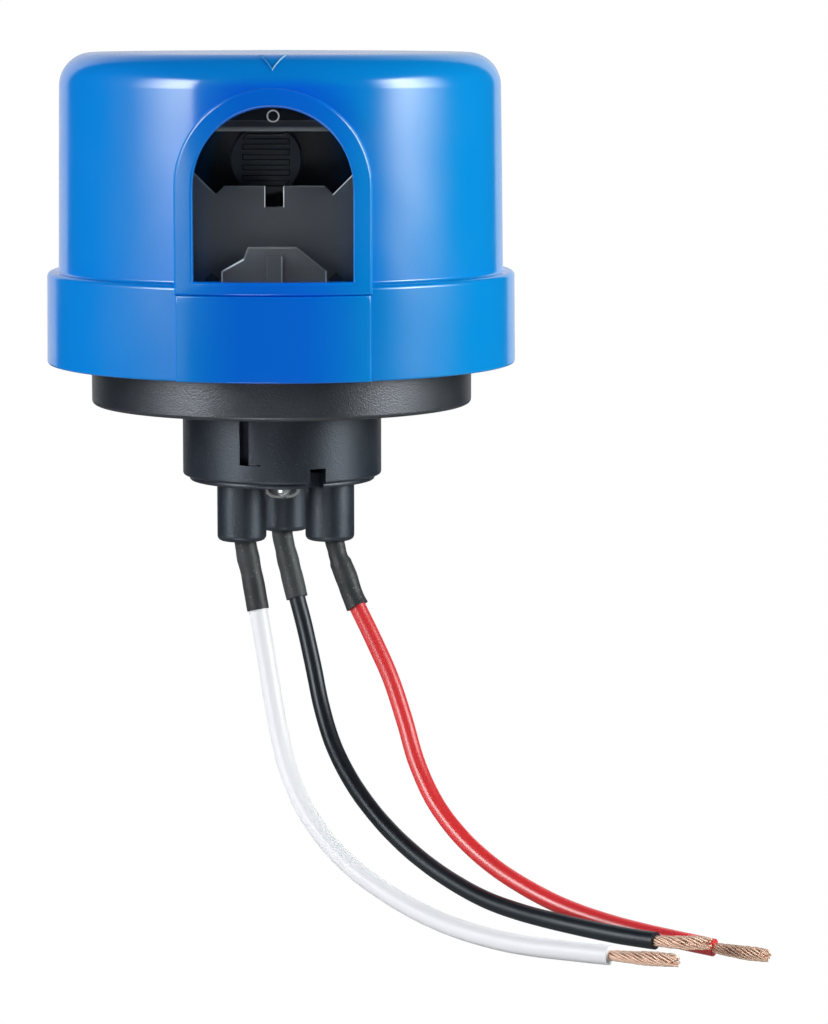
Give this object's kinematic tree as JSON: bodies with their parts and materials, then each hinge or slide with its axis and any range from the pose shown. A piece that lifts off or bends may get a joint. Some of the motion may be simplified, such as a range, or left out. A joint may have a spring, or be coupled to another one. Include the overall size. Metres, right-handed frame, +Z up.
{
  "type": "photocell switch",
  "caption": "Twist-lock photocell switch with a round blue cap and an arched sensor window, seated in its black receptacle with insulated leads.",
  "frame": {"origin": "on the axis, in the plane of the receptacle flange's underside", "axes": "+Z up along the axis to the cap's top, -Y out of the sensor window, +X to the window's right"},
  "size_m": [0.1204, 0.1087, 0.1446],
  "materials": {
    "housing_plastic": "blue gloss moulding",
    "clear_plastic": "clear acrylic, smoked by the dark inside",
    "black_moulding": "black satin thermoset moulding",
    "inner_black": "plain black moulding",
    "foam": "grey closed-cell foam",
    "brass": "plain",
    "plated_steel": "bright plating",
    "shrink_sleeve": "matte black sleeve",
    "white_insulation": "satin white insulation",
    "black_insulation": "gloss black insulation",
    "red_insulation": "satin red insulation",
    "bare_copper": "bare twisted strands",
    "board_laminate": "green laminate",
    "relay_case": "blue case",
    "film_case": "yellow case",
    "can_sleeve": "black sleeve",
    "coated_disc": "blue coating",
    "resistor_body": "tan coating",
    "sensor_ceramic": "clear-coated ceramic"
  },
  "bodies": {
    "receptacle": {"receptacle_body": "black_moulding", "wire_guide": "black_moulding", "guide_screw": "plated_steel", "contact_line": "brass", "contact_load": "brass", "contact_neutral": "brass", "sleeve_white": "shrink_sleeve", "sleeve_black": "shrink_sleeve", "sleeve_red": "shrink_sleeve", "lead_white": "white_insulation", "lead_black": "black_insulation", "lead_red": "red_insulation", "copper_white": "bare_copper", "copper_black": "bare_copper", "copper_red": "bare_copper"},
    "photocell": {"housing": "housing_plastic", "window_lens": "clear_plastic", "gasket": "foam", "base_plate": "inner_black", "blade_line": "brass", "blade_load": "brass", "blade_neutral": "brass", "rivet_line": "brass", "rivet_load": "brass", "rivet_neutral": "brass", "circuit_board": "board_laminate", "board_screw_1": "plated_steel", "board_screw_2": "plated_steel", "board_screw_3": "plated_steel", "relay": "relay_case", "film_capacitor": "film_case", "smoothing_capacitor": "can_sleeve", "surge_disc": "coated_disc", "dropper_resistor": "resistor_body", "diode_1": "inner_black", "diode_2": "inner_black", "diode_3": "inner_black", "photocell_sensor": "sensor_ceramic", "sensor_hood": "inner_black", "light_baffle": "inner_black", "lens_latch": "clear_plastic"}
  },
  "joints": [
    {"name": "twist_lock", "type": "hinge", "parent": "receptacle", "child": "photocell", "pos_m": [0, 0, 0], "axis": [0, 0, 1], "range_deg": [0, 25]}
  ]
}
